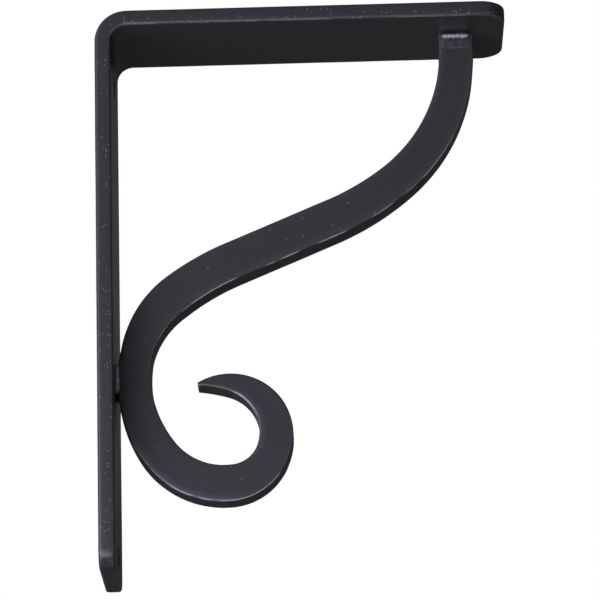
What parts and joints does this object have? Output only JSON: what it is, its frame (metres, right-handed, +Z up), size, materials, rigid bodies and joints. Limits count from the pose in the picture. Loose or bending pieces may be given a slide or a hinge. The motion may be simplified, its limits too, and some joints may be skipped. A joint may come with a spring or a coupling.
{
  "type": "wrought iron shelf bracket",
  "caption": "Right-angled flat-bar shelf bracket in blackened wrought iron, braced by an S-scroll that ends in a tapered curl and is welded into the angle.",
  "frame": {"origin": "on the wall face of the wall leg, midway between its two screw holes", "axes": "+X out from the wall along the shelf leg, +Y along the wall across the bar's width, +Z up"},
  "size_m": [0.1628, 0.0508, 0.2258],
  "materials": {
    "black_iron": "satin black lacquer over forged iron",
    "weld_metal": "the same black lacquer over rippled weld beads"
  },
  "bodies": {
    "root": {"l_strap": "black_iron", "scroll_brace": "black_iron", "shelf_weld": "weld_metal", "wall_weld": "weld_metal"}
  },
  "joints": []
}
